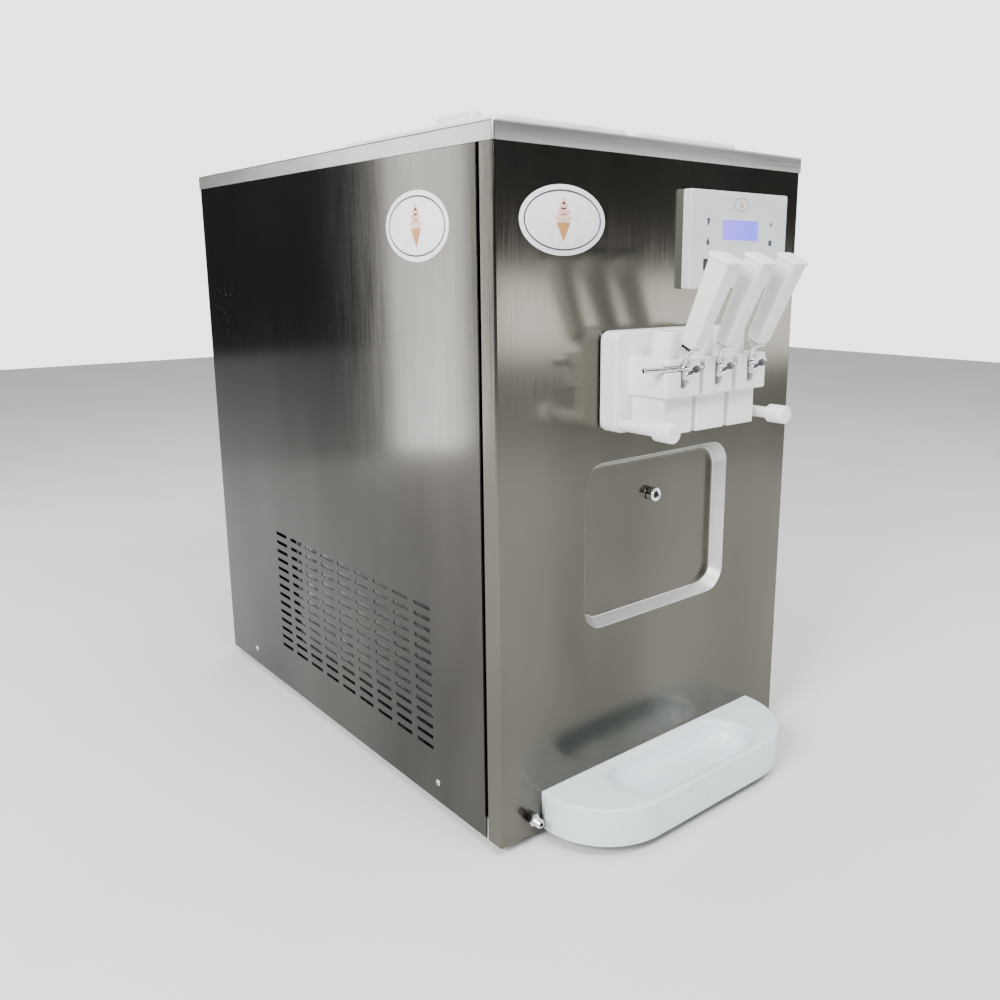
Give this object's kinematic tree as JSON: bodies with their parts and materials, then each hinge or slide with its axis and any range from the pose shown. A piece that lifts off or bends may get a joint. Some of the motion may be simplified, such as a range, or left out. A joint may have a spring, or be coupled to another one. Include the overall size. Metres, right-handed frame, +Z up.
{
  "type": "soft serve machine",
  "caption": "Counter-top soft serve machine with a stainless casing, lidded hoppers, a discharge head with draw levers, a control panel and a drip tray.",
  "frame": {"origin": "centre of the footprint's box, on the surface that the feet stand on", "axes": "+Z up, -Y out of the front with the levers, +X to the right as seen from the front"},
  "size_m": [0.5138, 0.9416, 0.8401],
  "materials": {
    "casing_steel": "brushed stainless sheet with a vertical grain",
    "side_steel": "bright stainless sheet with fine vertical streaks",
    "inner_steel": "plain stainless, satin",
    "chrome": "polished plate",
    "white_acetal": "white machined plastic, satin",
    "tray_plastic": "bluish white moulded plastic",
    "lid_plastic": "off-white moulded plastic",
    "panel_grey": "light grey foil over sheet",
    "dark_plastic": "dark moulded plastic",
    "display": "clear window over a violet-blue backlight",
    "board": "green circuit board",
    "rubber": "black moulded rubber",
    "cast_iron": "grey cast iron",
    "black_paint": "black enamel",
    "aluminium": "plain aluminium"
  },
  "bodies": {
    "machine": {"base_pan": "inner_steel", "front_panel": "casing_steel", "left_side_panel": "side_steel", "right_side_panel": "side_steel", "rear_panel": "casing_steel", "top_cover": "casing_steel", "cylinder_deck": "inner_steel", "left_frame": "inner_steel", "right_frame": "inner_steel", "front_left_foot": "rubber", "rear_left_foot": "rubber", "front_right_foot": "rubber", "rear_right_foot": "rubber", "left_hopper": "inner_steel", "right_hopper": "inner_steel", "left_freezing_cylinder": "inner_steel", "right_freezing_cylinder": "inner_steel", "head_gasket": "rubber", "discharge_block": "white_acetal", "control_panel": "panel_grey", "display": "display", "control_board": "board", "drain_fitting": "chrome", "drip_spout": "chrome", "gearbox": "cast_iron", "drive_motor": "black_paint", "drive_belt": "rubber", "compressor": "black_paint", "condenser": "aluminium", "fan_motor": "aluminium", "cord_gland": "rubber"},
    "left_hopper_lid": {"left_hopper_lid": "lid_plastic"},
    "right_hopper_lid": {"right_hopper_lid": "lid_plastic"},
    "left_feed_tube": {"left_feed_tube": "inner_steel"},
    "right_feed_tube": {"right_feed_tube": "inner_steel"},
    "left_lever": {"left_lever": "chrome", "left_grip": "white_acetal"},
    "middle_lever": {"middle_lever": "chrome", "middle_grip": "white_acetal"},
    "right_lever": {"right_lever": "chrome", "right_grip": "white_acetal"},
    "left_adjuster": {"left_adjusting_screw": "chrome"},
    "middle_adjuster": {"middle_adjusting_screw": "chrome"},
    "right_adjuster": {"right_adjusting_screw": "chrome"},
    "left_piston": {"left_piston": "white_acetal"},
    "middle_piston": {"middle_piston": "white_acetal"},
    "right_piston": {"right_piston": "white_acetal"},
    "left_hand_screw": {"left_hand_screw": "white_acetal"},
    "right_hand_screw": {"right_hand_screw": "white_acetal"},
    "pivot_pin": {"pivot_pin": "chrome"},
    "drip_tray": {"drip_tray": "tray_plastic"},
    "auto_key": {"auto_key": "dark_plastic"},
    "wash_key": {"wash_key": "dark_plastic"},
    "set_key": {"set_key": "dark_plastic"},
    "stop_key": {"stop_key": "dark_plastic"},
    "left_beater": {"left_beater": "white_acetal"},
    "right_beater": {"right_beater": "white_acetal"},
    "gearbox_pulley": {"gearbox_pulley": "cast_iron"},
    "motor_pulley": {"motor_pulley": "cast_iron"},
    "condenser_fan": {"condenser_fan": "dark_plastic"}
  },
  "joints": [
    {"name": "left_lever_pivot", "type": "hinge", "parent": "machine", "child": "left_lever", "pos_m": [-0.058, -0.40322, 0.561], "axis": [1, 0, 0], "range_deg": [0, 50]},
    {"name": "middle_lever_pivot", "type": "hinge", "parent": "machine", "child": "middle_lever", "pos_m": [0, -0.40322, 0.561], "axis": [1, 0, 0], "range_deg": [0, 50]},
    {"name": "right_lever_pivot", "type": "hinge", "parent": "machine", "child": "right_lever", "pos_m": [0.058, -0.40322, 0.561], "axis": [1, 0, 0], "range_deg": [0, 50]},
    {"name": "left_piston_slide", "type": "slide", "parent": "machine", "child": "left_piston", "axis": [0, 0, 1], "range_m": [0, 0.0195]},
    {"name": "middle_piston_slide", "type": "slide", "parent": "machine", "child": "middle_piston", "axis": [0, 0, 1], "range_m": [0, 0.0195]},
    {"name": "right_piston_slide", "type": "slide", "parent": "machine", "child": "right_piston", "axis": [0, 0, 1], "range_m": [0, 0.0195]},
    {"name": "left_adjuster_turn", "type": "hinge", "parent": "left_lever", "child": "left_adjuster", "pos_m": [-0.058, -0.40922, 0.5535], "axis": [0, -0.866, 0.5], "range_deg": [-180, 180]},
    {"name": "middle_adjuster_turn", "type": "hinge", "parent": "middle_lever", "child": "middle_adjuster", "pos_m": [0, -0.40922, 0.5535], "axis": [0, -0.866, 0.5], "range_deg": [-180, 180]},
    {"name": "right_adjuster_turn", "type": "hinge", "parent": "right_lever", "child": "right_adjuster", "pos_m": [0.058, -0.40922, 0.5535], "axis": [0, -0.866, 0.5], "range_deg": [-180, 180]},
    {"name": "left_hand_screw_turn", "type": "hinge", "parent": "machine", "child": "left_hand_screw", "pos_m": [-0.1, -0.35122, 0.496], "axis": [0, -1, 0], "range_deg": [0, 720]},
    {"name": "right_hand_screw_turn", "type": "hinge", "parent": "machine", "child": "right_hand_screw", "pos_m": [0.1, -0.35122, 0.496], "axis": [0, -1, 0], "range_deg": [0, 720]},
    {"name": "left_hopper_lid_lift", "type": "slide", "parent": "machine", "child": "left_hopper_lid", "axis": [0, 0, 1], "range_m": [0, 0.06]},
    {"name": "right_hopper_lid_lift", "type": "slide", "parent": "machine", "child": "right_hopper_lid", "axis": [0, 0, 1], "range_m": [0, 0.06]},
    {"name": "left_feed_tube_lift", "type": "slide", "parent": "machine", "child": "left_feed_tube", "axis": [0, 0, 1], "range_m": [0, 0.035]},
    {"name": "right_feed_tube_lift", "type": "slide", "parent": "machine", "child": "right_feed_tube", "axis": [0, 0, 1], "range_m": [0, 0.035]},
    {"name": "pivot_pin_pull", "type": "slide", "parent": "machine", "child": "pivot_pin", "axis": [-1, 0, 0], "range_m": [0, 0.15]},
    {"name": "drip_tray_pull", "type": "slide", "parent": "machine", "child": "drip_tray", "axis": [0, -1, 0], "range_m": [0, 0.06]},
    {"name": "auto_key_press", "type": "slide", "parent": "machine", "child": "auto_key", "axis": [0, 1, 0], "range_m": [0, 0.0015], "stiffness_N_per_m": 200},
    {"name": "wash_key_press", "type": "slide", "parent": "machine", "child": "wash_key", "axis": [0, 1, 0], "range_m": [0, 0.0015], "stiffness_N_per_m": 200},
    {"name": "set_key_press", "type": "slide", "parent": "machine", "child": "set_key", "axis": [0, 1, 0], "range_m": [0, 0.0015], "stiffness_N_per_m": 200},
    {"name": "stop_key_press", "type": "slide", "parent": "machine", "child": "stop_key", "axis": [0, 1, 0], "range_m": [0, 0.0015], "stiffness_N_per_m": 200},
    {"name": "gearbox_pulley_spin", "type": "hinge", "parent": "machine", "child": "gearbox_pulley", "pos_m": [0, 0.13678, 0.543], "axis": [0, 1, 0], "continuous": true},
    {"name": "motor_pulley_spin", "type": "hinge", "parent": "machine", "child": "motor_pulley", "pos_m": [0, 0.13678, 0.405], "axis": [0, 1, 0], "continuous": true},
    {"name": "left_beater_spin", "type": "hinge", "parent": "machine", "child": "left_beater", "pos_m": [-0.052, -0.17322, 0.543], "axis": [0, 1, 0], "continuous": true},
    {"name": "right_beater_spin", "type": "hinge", "parent": "machine", "child": "right_beater", "pos_m": [0.052, -0.17322, 0.543], "axis": [0, 1, 0], "continuous": true},
    {"name": "condenser_fan_spin", "type": "hinge", "parent": "machine", "child": "condenser_fan", "pos_m": [-0.1763, 0.03178, 0.1413], "axis": [1, 0, 0], "continuous": true}
  ],
  "couplings": [
    {"joint": "left_piston_slide", "follows": "left_lever_pivot", "m_per_rad": 0.022},
    {"joint": "middle_piston_slide", "follows": "middle_lever_pivot", "m_per_rad": 0.022},
    {"joint": "right_piston_slide", "follows": "right_lever_pivot", "m_per_rad": 0.022},
    {"joint": "motor_pulley_spin", "follows": "gearbox_pulley_spin", "ratio": 1.9643},
    {"joint": "left_beater_spin", "follows": "gearbox_pulley_spin", "ratio": 0.125},
    {"joint": "right_beater_spin", "follows": "gearbox_pulley_spin", "ratio": -0.125}
  ]
}
